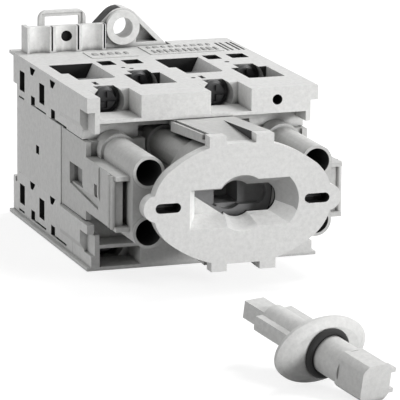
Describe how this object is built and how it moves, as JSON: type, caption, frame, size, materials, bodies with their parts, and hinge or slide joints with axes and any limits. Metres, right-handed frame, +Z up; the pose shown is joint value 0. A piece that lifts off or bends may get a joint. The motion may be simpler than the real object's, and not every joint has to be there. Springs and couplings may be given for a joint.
{
  "type": "changeover switch",
  "caption": "Rotary changeover switch for a mounting rail, with screw terminals above and below, a winged keyhole in an oval front plate and a loose plug-in shaft",
  "frame": {"origin": "centre of the rail seat on the rear mounting plane, where the turning axis meets it", "axes": "+X to the right seen from the front, +Y along the turning axis to the rear, +Z up; the front faces -Y"},
  "size_m": [0.082, 0.2661, 0.0733],
  "materials": {
    "housing_grey": "fine matt moulding",
    "plate_grey": "fine matt moulding",
    "dark_plastic": "matt moulding",
    "plated_steel": "zinc plated",
    "contact_copper": "bare, slightly dull",
    "seal_rubber": "smooth"
  },
  "bodies": {
    "housing": {"base_plate": "housing_grey", "latch_guide_block": "housing_grey", "rear_deck_housing": "housing_grey", "front_deck_housing": "housing_grey", "top_terminal_block": "housing_grey", "bottom_terminal_block": "housing_grey", "mechanism_housing": "housing_grey", "front_plate": "plate_grey", "front_bearing_bush": "contact_copper", "rear_bearing_bush": "contact_copper", "tie_screws": "plated_steel", "mechanism_screws": "plated_steel", "detent_spring": "plated_steel", "rail_latch_spring": "plated_steel", "front_fixed_contacts": "contact_copper", "rear_fixed_contacts": "contact_copper"},
    "latch": {"rail_latch": "housing_grey"},
    "drive": {"drive_hub": "dark_plastic", "drive_shaft": "plated_steel", "detent_star": "dark_plastic", "retaining_ring": "plated_steel", "front_pinion": "plated_steel", "rear_pinion": "plated_steel"},
    "front_contact_slide": {"front_carriage": "dark_plastic", "front_bridges": "contact_copper", "front_bridge_springs": "plated_steel"},
    "rear_contact_slide": {"rear_carriage": "dark_plastic", "rear_bridges": "contact_copper", "rear_bridge_springs": "plated_steel"},
    "plug": {"plug_shaft": "plate_grey", "shaft_o_ring": "seal_rubber"},
    "top_clamp_screw_1_body": {"top_clamp_screw_1": "plated_steel"},
    "top_clamp_cage_1_body": {"top_clamp_cage_1": "plated_steel"},
    "top_clamp_screw_2_body": {"top_clamp_screw_2": "plated_steel"},
    "top_clamp_cage_2_body": {"top_clamp_cage_2": "plated_steel"},
    "top_clamp_screw_3_body": {"top_clamp_screw_3": "plated_steel"},
    "top_clamp_cage_3_body": {"top_clamp_cage_3": "plated_steel"},
    "top_clamp_screw_4_body": {"top_clamp_screw_4": "plated_steel"},
    "top_clamp_cage_4_body": {"top_clamp_cage_4": "plated_steel"},
    "bottom_clamp_screw_1_body": {"bottom_clamp_screw_1": "plated_steel"},
    "bottom_clamp_cage_1_body": {"bottom_clamp_cage_1": "plated_steel"},
    "bottom_clamp_screw_2_body": {"bottom_clamp_screw_2": "plated_steel"},
    "bottom_clamp_cage_2_body": {"bottom_clamp_cage_2": "plated_steel"},
    "bottom_clamp_screw_3_body": {"bottom_clamp_screw_3": "plated_steel"},
    "bottom_clamp_cage_3_body": {"bottom_clamp_cage_3": "plated_steel"},
    "bottom_clamp_screw_4_body": {"bottom_clamp_screw_4": "plated_steel"},
    "bottom_clamp_cage_4_body": {"bottom_clamp_cage_4": "plated_steel"}
  },
  "joints": [
    {"name": "latch_slide", "type": "slide", "parent": "housing", "child": "latch", "axis": [0, 0, 1], "range_m": [0, 0.004], "stiffness_N_per_m": 400, "deforming": ["rail_latch_spring"]},
    {"name": "drive_turn", "type": "hinge", "parent": "housing", "child": "drive", "pos_m": [0, 0, 0], "axis": [0, 1, 0], "range_deg": [-60, 60], "deforming": ["detent_spring"]},
    {"name": "front_contact_travel", "type": "slide", "parent": "housing", "child": "front_contact_slide", "axis": [1, 0, 0], "range_m": [-0.00525, 0.00525]},
    {"name": "rear_contact_travel", "type": "slide", "parent": "housing", "child": "rear_contact_slide", "axis": [1, 0, 0], "range_m": [-0.00525, 0.00525]},
    {"name": "plug_lift", "type": "slide", "parent": "housing", "child": "plug", "axis": [0, 0, 1], "range_m": [0, 0.05]},
    {"name": "top_clamp_screw_1_turn", "type": "hinge", "parent": "housing", "child": "top_clamp_screw_1_body", "pos_m": [-0.02925, -0.0751, 0.0252], "axis": [0, 1, 0], "range_deg": [0, 2160]},
    {"name": "top_clamp_cage_1_travel", "type": "slide", "parent": "housing", "child": "top_clamp_cage_1_body", "axis": [0, -1, 0], "range_m": [0, 0.0048]},
    {"name": "top_clamp_screw_2_turn", "type": "hinge", "parent": "housing", "child": "top_clamp_screw_2_body", "pos_m": [-0.00975, -0.0521, 0.0252], "axis": [0, 1, 0], "range_deg": [0, 2160]},
    {"name": "top_clamp_cage_2_travel", "type": "slide", "parent": "housing", "child": "top_clamp_cage_2_body", "axis": [0, -1, 0], "range_m": [0, 0.0048]},
    {"name": "top_clamp_screw_3_turn", "type": "hinge", "parent": "housing", "child": "top_clamp_screw_3_body", "pos_m": [0.00975, -0.0751, 0.0252], "axis": [0, 1, 0], "range_deg": [0, 2160]},
    {"name": "top_clamp_cage_3_travel", "type": "slide", "parent": "housing", "child": "top_clamp_cage_3_body", "axis": [0, -1, 0], "range_m": [0, 0.0048]},
    {"name": "top_clamp_screw_4_turn", "type": "hinge", "parent": "housing", "child": "top_clamp_screw_4_body", "pos_m": [0.02925, -0.0521, 0.0252], "axis": [0, 1, 0], "range_deg": [0, 2160]},
    {"name": "top_clamp_cage_4_travel", "type": "slide", "parent": "housing", "child": "top_clamp_cage_4_body", "axis": [0, -1, 0], "range_m": [0, 0.0048]},
    {"name": "bottom_clamp_screw_1_turn", "type": "hinge", "parent": "housing", "child": "bottom_clamp_screw_1_body", "pos_m": [-0.02925, -0.0751, -0.0238], "axis": [0, 1, 0], "range_deg": [0, 2160]},
    {"name": "bottom_clamp_cage_1_travel", "type": "slide", "parent": "housing", "child": "bottom_clamp_cage_1_body", "axis": [0, -1, 0], "range_m": [0, 0.0048]},
    {"name": "bottom_clamp_screw_2_turn", "type": "hinge", "parent": "housing", "child": "bottom_clamp_screw_2_body", "pos_m": [-0.00975, -0.0521, -0.0238], "axis": [0, 1, 0], "range_deg": [0, 2160]},
    {"name": "bottom_clamp_cage_2_travel", "type": "slide", "parent": "housing", "child": "bottom_clamp_cage_2_body", "axis": [0, -1, 0], "range_m": [0, 0.0048]},
    {"name": "bottom_clamp_screw_3_turn", "type": "hinge", "parent": "housing", "child": "bottom_clamp_screw_3_body", "pos_m": [0.00975, -0.0751, -0.0238], "axis": [0, 1, 0], "range_deg": [0, 2160]},
    {"name": "bottom_clamp_cage_3_travel", "type": "slide", "parent": "housing", "child": "bottom_clamp_cage_3_body", "axis": [0, -1, 0], "range_m": [0, 0.0048]},
    {"name": "bottom_clamp_screw_4_turn", "type": "hinge", "parent": "housing", "child": "bottom_clamp_screw_4_body", "pos_m": [0.02925, -0.0521, -0.0238], "axis": [0, 1, 0], "range_deg": [0, 2160]},
    {"name": "bottom_clamp_cage_4_travel", "type": "slide", "parent": "housing", "child": "bottom_clamp_cage_4_body", "axis": [0, -1, 0], "range_m": [0, 0.0048]}
  ],
  "couplings": [
    {"joint": "front_contact_travel", "follows": "drive_turn", "m_per_rad": 0.005},
    {"joint": "rear_contact_travel", "follows": "drive_turn", "m_per_rad": 0.005},
    {"joint": "top_clamp_screw_1_turn", "follows": "top_clamp_cage_1_travel", "rad_per_m": 7854},
    {"joint": "top_clamp_screw_2_turn", "follows": "top_clamp_cage_2_travel", "rad_per_m": 7854},
    {"joint": "top_clamp_screw_3_turn", "follows": "top_clamp_cage_3_travel", "rad_per_m": 7854},
    {"joint": "top_clamp_screw_4_turn", "follows": "top_clamp_cage_4_travel", "rad_per_m": 7854},
    {"joint": "bottom_clamp_screw_1_turn", "follows": "bottom_clamp_cage_1_travel", "rad_per_m": 7854},
    {"joint": "bottom_clamp_screw_2_turn", "follows": "bottom_clamp_cage_2_travel", "rad_per_m": 7854},
    {"joint": "bottom_clamp_screw_3_turn", "follows": "bottom_clamp_cage_3_travel", "rad_per_m": 7854},
    {"joint": "bottom_clamp_screw_4_turn", "follows": "bottom_clamp_cage_4_travel", "rad_per_m": 7854}
  ]
}
